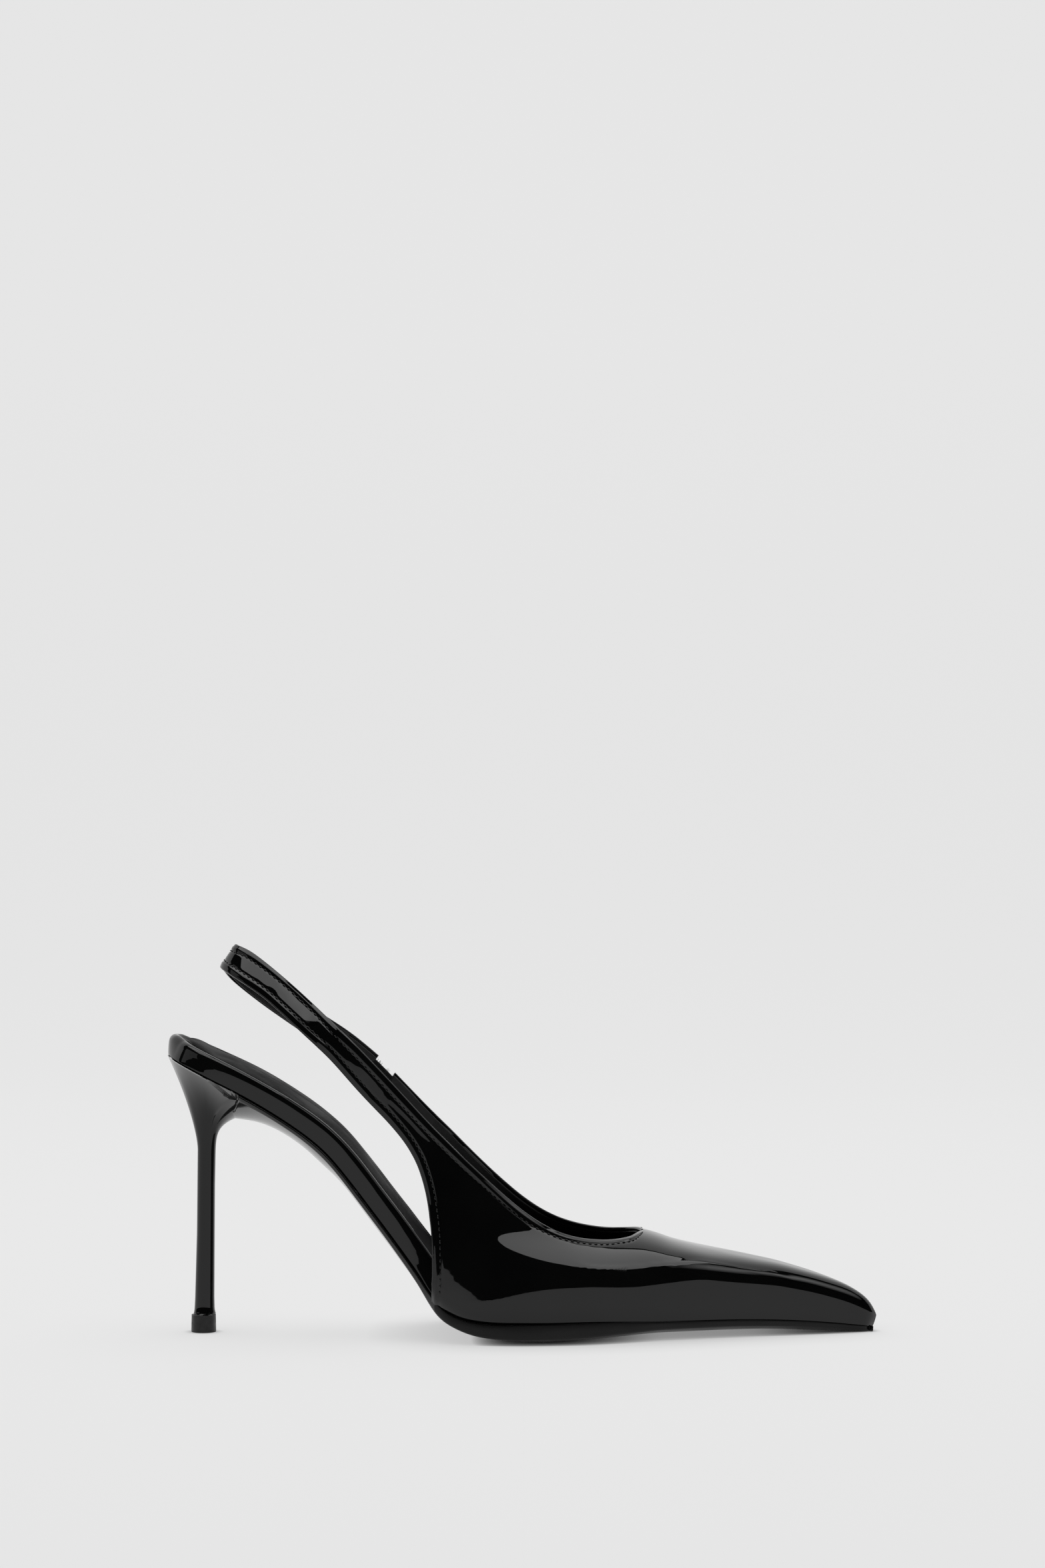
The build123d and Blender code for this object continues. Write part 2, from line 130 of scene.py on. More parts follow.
# Sling strap: its edges in side view, from the pivot to the back, and its half width there
STRAP_TOP_OUTER = [
    (-46.6, 88.2), (-56.9, 98.7), (-66.2, 107.8), (-79.9, 120.2), (-89, 127.4), (-94.4, 130.8),
    (-98.8, 132.2),
]
STRAP_LOW_OUTER = [
    (-53.4, 81.8), (-59.9, 89.2), (-66.9, 96.9), (-74.2, 104.2), (-81.5, 111), (-88.8, 117), (-97, 121.9),
    (-103.6, 125.2),
]
STRAP_TOP_INNER = [
    (-47.6, 90), (-54.4, 96), (-61.8, 102), (-69.1, 107.3), (-76.4, 112.7), (-83.6, 118.2), (-90.8, 124),
    (-95.6, 129), (-98.8, 132.2),
]
STRAP_LOW_INNER = [
    (-53.8, 84), (-61.8, 91), (-69.1, 96.6), (-76.4, 102), (-83.6, 107.1), (-90.8, 112.4), (-97.9, 118.2),
    (-101.6, 121.8), (-103.6, 125.2),
]

# Sole outline: half widths of the bottom edge
OUTER_SOLE = [
    (HEEL_X, 1), (HEEL_X + 1, 6.4), (-117, 13.6), (-112, 18.8), (-104, 23), (-92, 24.6), (-78, 23.8), (-62, 22.6),
    (-48, 23.2), (-38, 25), (-32, 27), (-27, 30.2), (-16, 36.2), (0, 38.3), (14, 37.4), (34, 32.6),
    (62, 23.4),
    (88, 13.8), (106, 7.2), (116, 3.8), (120, 2.2), (TOE_X, 0.6),
]
INNER_SOLE = [
    (HEEL_X, 1), (HEEL_X + 1, 6.2), (-117, 13.2), (-112, 18.2), (-104, 22), (-92, 23), (-78, 21.4), (-62, 18.8),
    (-48, 19.6), (-38, 22.6), (-32, 24.8), (-27, 28.6), (-16, 34.2), (0, 37.8), (14, 38.3), (34, 35),
    (62, 25.6),
    (88, 15.4), (106, 8.2), (116, 4.2), (120, 2.2), (TOE_X, 0.6),
]


# --- Curves and grids ---
def cubic(points, x):
    """A monotone cubic through the points, at x."""
    px, py = np.array(points, float).T
    h, d = np.diff(px), np.diff(py) / np.diff(px)
    m = np.zeros_like(py)
    m[0], m[-1] = d[0], d[-1]
    inner = d[:-1] * d[1:] > 0
    w1, w2 = 2 * h[1:] + h[:-1], h[1:] + 2 * h[:-1]
    with np.errstate(divide="ignore", invalid="ignore"):
        harmonic = (w1 + w2) / (w1 / d[:-1] + w2 / d[1:])
    m[1:-1] = np.where(inner, harmonic, 0)
    x = np.clip(x, px[0], px[-1])
    k = np.clip(np.searchsorted(px, x) - 1, 0, len(h) - 1)
    t = (x - px[k]) / h[k]
    return (py[k] * (1 + 2 * t) * (1 - t) ** 2 + m[k] * h[k] * t * (1 - t) ** 2
            + py[k + 1] * t * t * (3 - 2 * t) + m[k + 1] * h[k] * t * t * (t - 1))


def blurred(values, reach):
    """Values smoothed along their length with a bell of that many samples, ends kept."""
    pad = int(3 * reach)
    bell = np.exp(-0.5 * (np.arange(-pad, pad + 1) / reach) ** 2)
    front = 2 * values[0] - values[pad:0:-1]
    back = 2 * values[-1] - values[-2:-pad - 2:-1]
    return np.convolve(np.concatenate([front, values, back]), bell / bell.sum(), "valid")


def profile(points, blur=2.5, step=0.25):
    """A smooth function of x through the points: blur is in millimetres."""
    points = sorted(points)
    xs = np.arange(points[0][0], points[-1][0] + step, step)
    ys = blurred(cubic(points, xs), blur / step)
    return lambda x: np.interp(x, xs, ys)


def path(points, blur=2.0, count=600):
    """A smooth plane or space curve through the points, as a function of its length share."""
    points = np.array(points, float)
    lengths = np.concatenate([[0], np.cumsum(np.linalg.norm(np.diff(points, axis=0), axis=1))])
    t = np.linspace(0, lengths[-1], count)
    step = t[1]
    columns = [blurred(cubic(list(zip(lengths, c)), t), blur / step) for c in points.T]
    dense = np.stack(columns, 1)
    share = np.concatenate([[0], np.cumsum(np.linalg.norm(np.diff(dense, axis=0), axis=1))])
    share /= share[-1]
    return lambda s: np.stack([np.interp(s, share, c) for c in dense.T], -1)


def smoothstep(a, b, x):
    t = np.clip((x - a) / (b - a), 0, 1)
    return t * t * (3 - 2 * t)


def waves(points, size, seed):
    """Smooth three-dimensional noise from -1 to 1 made of a few sine waves of about that size."""
    chance = np.random.default_rng(seed)
    total = np.zeros(points.shape[:-1])
    for _ in range(7):
        direction = chance.normal(size=3)
        direction *= 2 * math.pi / (size * chance.uniform(0.7, 1.6) * np.linalg.norm(direction))
        total += np.sin(points @ direction + chance.uniform(0, 2 * math.pi))
    return total / 4


seam_z = profile(SEAM)
ridge_z = profile(RIDGE, blur=1.2)
outer_width, inner_width = profile(OUTER_WIDTH, blur=1.5), profile(INNER_WIDTH, blur=1.5)
outer_sole, inner_sole = profile(OUTER_SOLE, blur=1.2), profile(INNER_SOLE, blur=1.2)
shoulder_z, shoulder_depth = profile(SHOULDER), profile(SHOULDER_DEPTH)
belly_rise, lean = profile(BELLY_RISE), profile(LEAN)


# Roundness of the wall above the belly, as a power: 2 is an ellipse, more is a flatter top over a steeper side
BOXINESS = [(-62, 2), (36, 2), (48, 2.5), (62, 3.3), (96, 3.1), (110, 2.4), (TOE_X, 2)]
boxiness = profile(BOXINESS)


def centre_y(x):
    return TOE_SHIFT * np.clip(x, 0, None) / TOE_X


def upper_y(x, z, side):
    """Half width of the upper at a point of the side view: side is -1 outer, +1 inner."""
    width = outer_width(x) if side < 0 else inner_width(x)
    low, high = seam_z(np.maximum(x, -31)), ridge_z(x)
    belly = low + np.minimum(belly_rise(x), 0.5 * (high - low))
    above = np.clip((z - belly) / (high - belly), 0, 1)
    below = np.clip((belly - z) / (belly - low), 0, 1.3)
    middle = shoulder_z(x)
    draw_in = shoulder_depth(x) * smoothstep(middle - 7, middle + 7, z) + lean(x) * np.clip(z - belly, 0, 40)
    power = boxiness(x)
    half = width * (1 - above ** power) ** (1 / power) * (1 - 0.06 * below ** 2)
    return centre_y(x) + side * half * (1 - draw_in / np.maximum(width, 1))


def unit(v):
    return v / np.maximum(np.linalg.norm(v, axis=-1, keepdims=True), 1e-9)


def normals_of(grid):
    """Unit normals of a grid of points."""
    along = np.gradient(grid, axis=0)
    across = np.gradient(grid, axis=1)
    return unit(np.cross(along, across))


def add_mesh(name, vertices, faces, material, merge=0.0):
    """A mesh object from millimetre points and faces."""
    mesh = bpy.data.meshes.new(name)
    mesh.from_pydata((np.asarray(vertices) * MM).tolist(), [], faces)
    mesh.validate()
    obj = bpy.data.objects.new(name, mesh)
    bpy.context.scene.collection.objects.link(obj)
    if merge:
        bm = bmesh.new()
        bm.from_mesh(mesh)
        bmesh.ops.remove_doubles(bm, verts=bm.verts, dist=merge * MM)
        bmesh.ops.dissolve_degenerate(bm, edges=bm.edges, dist=1e-7)
        bmesh.ops.recalc_face_normals(bm, faces=bm.faces)
        bm.to_mesh(mesh)
        bm.free()
    mesh.shade_smooth()
    mesh.materials.append(material)
    return obj


def grid_faces(rows, columns, start=0, wrap=False):
    """Quads of a grid of points stored row by row; wrap joins the last column to the first."""
    faces = []
    last = columns if wrap else columns - 1
    for i in range(rows - 1):
        for j in range(last):
            k = (j + 1) % columns
            faces.append((start + i * columns + j, start + i * columns + k,
                          start + (i + 1) * columns + k, start + (i + 1) * columns + j))
    return faces


class Mesh:
    """Collects grids of points into one mesh."""

    def __init__(self):
        self.points, self.faces, self.count = [], [], 0

    def grid(self, grid, wrap=False, cap=False):
        rows, columns = grid.shape[:2]
        self.points.append(grid.reshape(-1, 3))
        self.faces += grid_faces(rows, columns, self.count, wrap)
        if cap:
            self.faces.append(tuple(range(self.count, self.count + columns)))
            top = self.count + (rows - 1) * columns
            self.faces.append(tuple(range(top + columns - 1, top - 1, -1)))
        self.count += rows * columns

    def build(self, name, material, **options):
        return add_mesh(name, np.concatenate(self.points), self.faces, material, **options)


# --- Materials ---
def new_material(name, colour, roughness):
    """A principled material. The callers wire its colour, roughness and bump."""
    material = bpy.data.materials.new(name)
    material.use_nodes = True
    shader = material.node_tree.nodes["Principled BSDF"]
    shader.inputs["Base Color"].default_value = (*colour, 1)
    shader.inputs["Roughness"].default_value = roughness
    return material, material.node_tree, shader


def coordinates(tree):
    return tree.nodes.new("ShaderNodeTexCoord").outputs["Object"]


def noise(tree, scale, detail=2.0, distortion=0.0):
    node = tree.nodes.new("ShaderNodeTexNoise")
    node.inputs["Scale"].default_value = scale
    node.inputs["Detail"].default_value = detail
    node.inputs["Distortion"].default_value = distortion
    tree.links.new(coordinates(tree), node.inputs["Vector"])
    return node.outputs["Fac"]


def cells(tree, scale):
    node = tree.nodes.new("ShaderNodeTexVoronoi")
    node.feature = "DISTANCE_TO_EDGE"
    node.inputs["Scale"].default_value = scale
    tree.links.new(coordinates(tree), node.inputs["Vector"])
    return node.outputs["Distance"]


def bump(tree, shader, height, strength, distance, socket="Normal"):
    node = tree.nodes.new("ShaderNodeBump")
    node.inputs["Strength"].default_value = strength
    node.inputs["Distance"].default_value = distance
    tree.links.new(height, node.inputs["Height"])
    tree.links.new(node.outputs["Normal"], shader.inputs[socket])


def ramp(tree, factor, low, high, start=0.35, end=0.65):
    """The factor mapped to two colours or two greys."""
    node = tree.nodes.new("ShaderNodeValToRGB")
    low = low if isinstance(low, tuple) else (low,) * 3
    high = high if isinstance(high, tuple) else (high,) * 3
    node.color_ramp.elements[0].position, node.color_ramp.elements[1].position = start, end
    node.color_ramp.elements[0].color = (*low, 1)
    node.color_ramp.elements[1].color = (*high, 1)
    tree.links.new(factor, node.inputs["Fac"])
    return node.outputs["Color"]


def patent_material():
    """Black patent: dark base, a clear coat with a very fine orange peel, and a fine grain under it."""
    material, tree, shader = new_material("patent_leather", (0.0032, 0.0034, 0.0033), 0.32)
    shader.inputs["Specular IOR Level"].default_value = 0.0
    shader.inputs["Coat Weight"].default_value = 1.0
    shader.inputs["Coat Roughness"].default_value = 0.02
    shader.inputs["Coat IOR"].default_value = 1.43
    grain = noise(tree, 900, 3)
    peel = noise(tree, 160, 2)
    tree.links.new(ramp(tree, grain, 0.26, 0.42), shader.inputs["Roughness"])
    tree.links.new(ramp(tree, noise(tree, 40, 4), (0.0026, 0.0027, 0.0028), (0.0042, 0.0044, 0.0043)),
                   shader.inputs["Base Color"])
    bump(tree, shader, grain, 0.25, 0.00003)
    bump(tree, shader, peel, 0.5, 0.00002, "Coat Normal")
    return material


def matt_leather(name, pores, roughness, mottle, dark, light, specular, strength, depth):
    """Black leather with a pore grain: mottle gives the noises of its uneven gloss and its colour."""
    material, tree, shader = new_material(name, light, roughness[0])
    shader.inputs["Specular IOR Level"].default_value = specular
    gloss = noise(tree, *mottle[0])
    tree.links.new(ramp(tree, gloss, *roughness), shader.inputs["Roughness"])
    tree.links.new(ramp(tree, noise(tree, *mottle[1]), dark, light), shader.inputs["Base Color"])
    bump(tree, shader, cells(tree, pores), strength, depth)
    return material


def sole_material(name, roughness, specular):
    """Black sole: fine moulded grain."""
    material, tree, shader = new_material(name, (0.006, 0.006, 0.006), roughness)
    shader.inputs["Specular IOR Level"].default_value = specular
    grain = noise(tree, 1400, 3)
    uneven = ramp(tree, noise(tree, 90, 4), roughness * 0.8, roughness * 1.25)
    tree.links.new(uneven, shader.inputs["Roughness"])
    tree.links.new(ramp(tree, noise(tree, 35, 3), (0.004, 0.004, 0.004), (0.008, 0.008, 0.008)),
                   shader.inputs["Base Color"])
    bump(tree, shader, grain, 0.2, 0.00004)
    return material


def thread_material():
    """Black bonded sewing thread: its two plies twist round each other."""
    material, tree, shader = new_material("thread", (0.01, 0.01, 0.01), 0.38)
    node = tree.nodes.new("ShaderNodeTexWave")
    node.inputs["Scale"].default_value = 900
    node.inputs["Distortion"].default_value = 1.2
    tree.links.new(coordinates(tree), node.inputs["Vector"])
    tree.links.new(ramp(tree, node.outputs["Fac"], 0.3, 0.46), shader.inputs["Roughness"])
    tree.links.new(ramp(tree, noise(tree, 300), (0.007, 0.007, 0.007), (0.014, 0.014, 0.014)),
                   shader.inputs["Base Color"])
    bump(tree, shader, node.outputs["Fac"], 0.4, 0.00006)
    return material


def plain_material(name, dark, light, rough, scale, depth, metallic=0.0):
    """A material with a mottled colour, uneven roughness and grain: for steel, rubber and elastic."""
    material, tree, shader = new_material(name, light, rough)
    shader.inputs["Metallic"].default_value = metallic
    grain = noise(tree, scale, 4)
    tree.links.new(ramp(tree, grain, dark, light), shader.inputs["Base Color"])
    uneven = ramp(tree, noise(tree, scale / 4, 3), rough * 0.8, min(1.0, rough * 1.2))
    tree.links.new(uneven, shader.inputs["Roughness"])
    bump(tree, shader, grain, 0.4, depth)
    return material


PATENT = patent_material()
LINING_LEATHER = matt_leather("lining_leather", 2600, (0.42, 0.58), ((120, 3), (60, 3)),
                              (0.009, 0.009, 0.0095), (0.016, 0.016, 0.0165), 0.5, 0.35, 0.00008)
SOCK_LEATHER = matt_leather("sock_leather", 1900, (0.5, 0.68), ((70, 4, 0.4), (50, 3)),
                            (0.005, 0.005, 0.0053), (0.009, 0.009, 0.0095), 0.08, 0.25, 0.00006)
SOLE, WAIST = sole_material("sole_black", 0.3, 0.22), sole_material("waist_lacquer", 0.1, 0.6)
THREAD = thread_material()
ELASTIC = plain_material("elastic_weave", (0.004,) * 3, (0.012,) * 3, 0.75, 3000, 0.0001)
TOP_PIECE = plain_material("top_piece_rubber", (0.006,) * 3, (0.011,) * 3, 0.42, 2200, 0.00005)
STEEL = plain_material("drawn_steel", (0.45, 0.45, 0.46), (0.62, 0.62, 0.63), 0.3, 700, 0.00002, 1.0)


# --- Upper: one patent piece from the strap's inner end, round the back, to the toe ---
EDGE_ROWS = np.array([0, 0.25, 0.55, 0.9, 1.25, 1.6, 1.95, 2.3, 2.65, 3.0, 3.5])
MIDDLE_ROWS = 32
BACK_ROWS = 9
COLUMN_SAMPLES = 240
VAMP_COLUMNS, STRAP_COLUMNS = 420, 150
WING_SHARE = 0.3          # share of the columns that start on the wing's back edge
THROAT_X = TOPLINE[-1][0]
THROAT_REACH = 5          # the topline closes on the ridge over this length
STRAP_CUT = 0.06          # the strap's inner end, as a share of its length from the pivot
WING_CUT = 0.012

top_path = path(TOPLINE + [(x, z) for x, z in RIDGE if x > THROAT_X + 2])
wing_path = path(WING_EDGE, blur=1.5)
FEATHER_XS = (-27, -20, -10, 5, 25, 45, 65, 85, 100, 112, TOE_X)
feather_path = path([WING_EDGE[-1]] + [(x, float(seam_z(x))) for x in FEATHER_XS])


def vamp_shares(start):
    """Shares of the columns, close together round the throat, where the topline turns across the foot."""
    even = np.linspace(0, 1, 4000)
    throat = even[np.argmin(np.abs(top_path(even)[:, 0] - THROAT_X))]
    crowd = 1 + 9 * np.exp(-((even - throat) / 0.02) ** 2)
    total = np.concatenate([[0], np.cumsum((crowd[1:] + crowd[:-1]) / 2)])
    total /= total[-1]
    return np.interp(np.linspace(np.interp(start, even, total), 1, VAMP_COLUMNS), total, even)


def column_rows(points):
    """A column's points, close together near both of its ends and even between."""
    lengths = np.concatenate([[0], np.cumsum(np.linalg.norm(np.diff(points, axis=0), axis=1))])
    whole = lengths[-1]
    low = EDGE_ROWS * min(1, 0.3 * whole / EDGE_ROWS[-1])
    high = whole - low[::-1]
    middle = np.linspace(low[-1], high[0], MIDDLE_ROWS + 2)[1:-1]
    wanted = np.concatenate([low, middle, high])
    return np.stack([np.interp(wanted, lengths, c) for c in points.T], 1)


def nosed(points):
    """The points with the toe's tip rounded back under itself."""
    x, z = points[..., 0], points[..., 2]
    shift = 1.4 * smoothstep(TOE_X - 5, TOE_X, x) * np.clip((6.5 - z) / 5, 0, 1) ** 1.5
    moved = points.copy()
    moved[..., 0] -= shift
    return moved


def vamp_grid(side, start=0.0):
    """One side of the vamp from the pivot to the toe; its columns run from the sole to the topline."""
    share = vamp_shares(start)
    sole_share = np.clip((share - WING_SHARE) / (1 - WING_SHARE), 0, 1)
    wing_share = np.clip(share / WING_SHARE, 0, 1)
    low = np.where((share < WING_SHARE)[:, None], wing_path(wing_share), feather_path(sole_share))
    top = top_path(share)
    behind = np.clip((THROAT_X - top[:, 0]) / THROAT_REACH, 0, 1)    # 0 on the ridge, where both sides meet
    top[:, 1] += (ridge_z(top[:, 0]) - top[:, 1]) * (1 - behind) ** 2
    columns = []
    for (x0, z0), (x1, z1) in zip(low, top):
        t = np.sin(np.linspace(0, 1, COLUMN_SAMPLES) * math.pi / 2)
        x, z = x0 + (x1 - x0) * t, z0 + (z1 - z0) * t
        z = np.minimum(z, ridge_z(x))
        columns.append(column_rows(np.stack([x, upper_y(x, z, side), z], 1)))
    return nosed(np.array(columns))


# Share of the strap's length from the pivot, and how much nearer the middle plane it lies there
STRAP_TAPER = [(0, 0), (0.18, 1.5), (0.36, 3.3), (0.53, 5.4), (0.72, 7.6), (1, 10)]
STRAP_ROUND = 0.72        # where the strap starts to turn round the heel
STRAP_TILT = 7.4          # how much further out its low edge lies than its top edge, towards the back


def strap_half_width(share, side):
    """The strap's distance from the middle plane: a taper from the wing's width, closed by a round back."""
    start = abs(float(upper_y(np.array(PIVOT[0]), np.array(PIVOT[2]), side)))
    taper = cubic([(s, start - loss) for s, loss in STRAP_TAPER], share)
    closing = np.clip(share - STRAP_ROUND, 0, None) / (1 - STRAP_ROUND)
    return taper * np.sqrt(1 - closing ** 2)


def strap_grid(low_points, top_points, side, start=0.0):
    """One side of the strap, from the pivot to the middle of the back."""
    share = np.sin(np.linspace(math.asin(start), math.pi / 2, STRAP_COLUMNS))
    low_path, high_path = path(low_points, blur=2), path(top_points, blur=2)
    columns = []
    for s, y in zip(share, strap_half_width(share, side)):
        (x0, z0), (x1, z1) = low_path(s), high_path(s)
        t = np.linspace(0, 1, 60)
        bulge = 0.3 * 4 * t * (1 - t) * min(1, y / 6)
        tilt = STRAP_TILT * smoothstep(0.2, 0.52, s) * (0.5 - t) * min(1, y / 16)
        across = [x0 + (x1 - x0) * t, side * (y + bulge + tilt), z0 + (z1 - z0) * t]
        columns.append(column_rows(np.stack(across, 1)))
    return np.array(columns)


def eased(grid, row, reach=7):
    """The grid with the rows near one row blurred along, where two surfaces join."""
    smooth = np.apply_along_axis(blurred, 0, grid, reach)
    near = np.exp(-((np.arange(len(grid)) - row) / (2.5 * reach)) ** 2)[:, None, None]
    return grid + (smooth - grid) * near


def joined_outer():
    """Strap and outer side of the vamp as one grid, from the strap's inner end round the back to the toe."""
    inner = strap_grid(STRAP_LOW_INNER, STRAP_TOP_INNER, 1, STRAP_CUT)
    outer = strap_grid(STRAP_LOW_OUTER, STRAP_TOP_OUTER, -1)[::-1]
    vamp = vamp_grid(-1)
    share = smoothstep(len(outer) - 45, len(outer) - 1, np.arange(len(outer)))[:, None, None]
    outer = outer + (vamp[0] - outer[-1]) * share
    joined = np.concatenate([inner, outer[1:], vamp[1:]])
    joined = eased(joined, len(inner) - 1, 5)
    return eased(joined, len(inner) + len(outer) - 2)


wing_samples = wing_path(np.linspace(0, 1, 240))


def distance_to_wing_edge(grid):
    """Distance in side view from the wing's back edge; 99 away from it."""
    flat = grid.reshape(-1, 3)[:, [0, 2]]
    near = np.full(len(flat), 99.0)
    close = (flat[:, 0] < -18) & (flat[:, 0] > -62) & (flat[:, 1] < 100)
    near[close] = np.linalg.norm(flat[close][:, None] - wing_samples[None], axis=-1).min(1)
    return near.reshape(grid.shape[:2])


def edge_distances(grid):
    """Distances of a grid's points from its low edge and its top edge, measured square to each edge near it."""
    steps = np.linalg.norm(np.diff(grid, axis=1), axis=-1)
    lengths = np.concatenate([np.zeros((len(grid), 1)), np.cumsum(steps, axis=1)], 1)

    def squareness(edge, inner):
        along, across = unit(np.gradient(edge, axis=0)), unit(inner - edge)
        return blurred(np.sqrt(np.clip(1 - np.sum(along * across, -1) ** 2, 0.1, 1)), 12)[:, None]

    return (lengths * squareness(grid[:, 0], grid[:, 6]),
            (lengths[:, -1:] - lengths) * squareness(grid[:, -1], grid[:, -7]))


def swelling(distance):
    """Height of the leather near a sewn, folded edge: a soft bead, then the groove of the stitch row."""
    return (0.24 * np.exp(-((distance - 1.15) / 0.8) ** 2)
            - 0.22 * np.exp(-((distance - STITCH_INSET) / 0.45) ** 2))


puff_z = profile(PUFF_LINE, blur=1)


def puff_edge(grid):
    """The low step that the toe puff's edge makes under the leather, with a slight roll along it."""
    x, z = grid[..., 0], grid[..., 2]
    gap = z - puff_z(x) - 0.3 * np.sin(x / 4.3)
    along = smoothstep(16, 24, x) * smoothstep(94, 84, x)
    step = smoothstep(1.2, -0.6, gap) * smoothstep(-14, -2, gap)
    return along * PUFF_STEP * (step + 0.8 * np.exp(-(gap / 0.38) ** 2))


class Side:
    """One grid of the upper with its normals, its edges' distances and its shaped face."""

    def __init__(self, grid, side, strap_rows):
        self.grid, self.strap_rows = grid, strap_rows
        n = normals_of(grid)
        probe = min(len(grid) - 1, strap_rows + 60)
        if n[probe, grid.shape[1] // 3, 1] * side < 0:
            n = -n
        closed = grid[:, -1, 0] > THROAT_X + 1
        n[closed, -1] = unit(n[closed, -1] * np.array([1, 0, 1]))
        self.from_low, self.from_top = edge_distances(grid)
        on_strap = (np.arange(len(grid)) < strap_rows)[:, None]
        low = np.where(on_strap, self.from_low, distance_to_wing_edge(grid))
        open_top = smoothstep(THROAT_X + 0.5, THROAT_X - 1.5, grid[:, -1:, 0])
        waviness = waves(grid, 30, 3) * 0.15 + waves(grid, 13, 5) * 0.022
        crinkle = waves(grid, 8, 9) * 0.045
        calm = smoothstep(0, 5, self.from_low) * (1 - open_top * (1 - smoothstep(0, 5, self.from_top)))
        small_calm = smoothstep(0, 2.5, self.from_low) * smoothstep(0, 2.5, self.from_top)
        height = swelling(self.from_top) * open_top + swelling(low)
        height = height + np.where(on_strap, crinkle * small_calm, waviness * calm + puff_edge(grid) * calm)
        self.n = n
        self.face = grid + n * height[..., None]

    def shell(self, mesh, thickness, depth=0.0, rows=slice(None), trim=0,
              low_open=None, top_open=None, ends=()):
        """Adds a leather ply under the face: its two surfaces, its rounded open edges and its cut ends."""
        columns = slice(trim, self.grid.shape[1] - trim)
        n = self.n[rows, columns]
        face = self.face[rows, columns] - n * depth
        picked = np.linspace(0, face.shape[1] - 1, BACK_ROWS).round().astype(int)
        back = face[:, picked] - n[:, picked] * thickness
        mesh.grid(face)
        mesh.grid(back)
        low_edge = (face[:, 0], face[:, 2], n[:, 0], low_open)
        top_edge = (face[:, -1], face[:, -3], n[:, -1], top_open)
        for edge, inner, edge_n, rim in (low_edge, top_edge):
            open_rows = np.nonzero(rim[rows])[0] if rim is not None else []
            if len(open_rows) < 2:
                continue
            out = unit(np.cross(unit(np.gradient(edge, axis=0)), edge_n))
            out = np.where(np.sum(out * (edge - inner), -1, keepdims=True) < 0, -out, out)
            middle = edge - edge_n * thickness / 2
            fold = [middle + thickness / 2 * (math.cos(a) * edge_n + math.sin(a) * out)
                    for a in np.linspace(0, math.pi, 7)]
            mesh.grid(np.stack(fold, 1)[open_rows[0]:open_rows[-1] + 1])
        for end in ends:
            mesh.grid(np.stack([face[end], face[end] - n[end] * thickness]))

    def line(self, distance, rows, top=True):
        """A line on the face at a distance from its top or low edge, and its normals."""
        gap = self.from_top if top else self.from_low
        points, ns = [], []
        for i in np.arange(len(self.grid))[rows]:
            order = np.argsort(gap[i])
            points.append([np.interp(distance, gap[i][order], c[order]) for c in self.face[i].T])
            ns.append([np.interp(distance, gap[i][order], c[order]) for c in self.n[i].T])
        return np.array(points), unit(np.array(ns))


outer_grid = joined_outer()
OUTER_STRAP_ROWS = 2 * STRAP_COLUMNS - 1
outer_side = Side(outer_grid, -1, OUTER_STRAP_ROWS)
inner_side = Side(vamp_grid(1, WING_CUT), 1, 0)
# Rows whose low or top edge is an open, folded one
on_strap = np.arange(len(outer_grid)) < OUTER_STRAP_ROWS
outer_low = on_strap | (outer_grid[:, 0, 0] <= -30.6) | (outer_grid[:, 0, 2] > 13.6)
outer_low &= on_strap | (outer_grid[:, 0, 0] < -29.9)
outer_top = on_strap | (outer_grid[:, -1, 0] < THROAT_X - 0.05)
inner_low = (inner_side.grid[:, 0, 0] < -29.9) & (inner_side.grid[:, 0, 2] > 13.4)
inner_top = inner_side.grid[:, -1, 0] < THROAT_X - 0.05

mesh = Mesh()
outer_side.shell(mesh, LEATHER, low_open=outer_low, top_open=outer_top, ends=(0,))
inner_side.shell(mesh, LEATHER, low_open=inner_low, top_open=inner_top, ends=(0,))
upper = mesh.build("upper_patent", PATENT, merge=0.004)

LINED_TO = 60             # the lining shows no further towards the toe than this
mesh = Mesh()
lined_outer = slice(0, int(np.nonzero(outer_grid[:, -1, 0] < LINED_TO)[0][-1]))
lined_inner = slice(0, int(np.nonzero(inner_side.grid[:, -1, 0] < LINED_TO)[0][-1]))
outer_side.shell(mesh, LINING, LEATHER + 0.02, lined_outer, 3, outer_low, outer_top, ends=(0, -1))
inner_side.shell(mesh, LINING, LEATHER + 0.02, lined_inner, 3, inner_low, inner_top, ends=(0, -1))
lining = mesh.build("upper_lining", LINING_LEATHER, merge=0.004)


# --- Stitches ---
STITCH_LENGTH, STITCH_RADIUS = 1.5, 0.21


def add_stitches(mesh, points, ns, sink=0.02):
    """Short thread loops along a line: each rises from the leather, lies on it and dips back in."""
    lengths = np.concatenate([[0], np.cumsum(np.linalg.norm(np.diff(points, axis=0), axis=1))])

    def place(s, values):
        return np.array([np.interp(s, lengths, c) for c in values.T])

    for start in np.arange(0.8, lengths[-1] - STITCH_LENGTH - 0.4, STITCH_PITCH):
        rings = []
        for t in np.linspace(0, 1, 7):
            s = start + STITCH_LENGTH * t
            p, n = place(s, points), unit(place(s, ns))
            along = unit(place(s + 0.2, points) - place(s - 0.2, points))
            side = np.cross(along, n)
            rise = STITCH_RADIUS * (1.1 - 2.4 * abs(2 * t - 1) ** 3) - sink
            radius = STITCH_RADIUS * (1 - 0.35 * abs(2 * t - 1) ** 2)
            centre = p + n * rise
            rings.append([centre + radius * (math.cos(a) * n * 0.8 + math.sin(a) * side)
                          for a in np.linspace(0, 2 * math.pi, 7)[:-1]])
        mesh.grid(np.array(rings), wrap=True, cap=True)


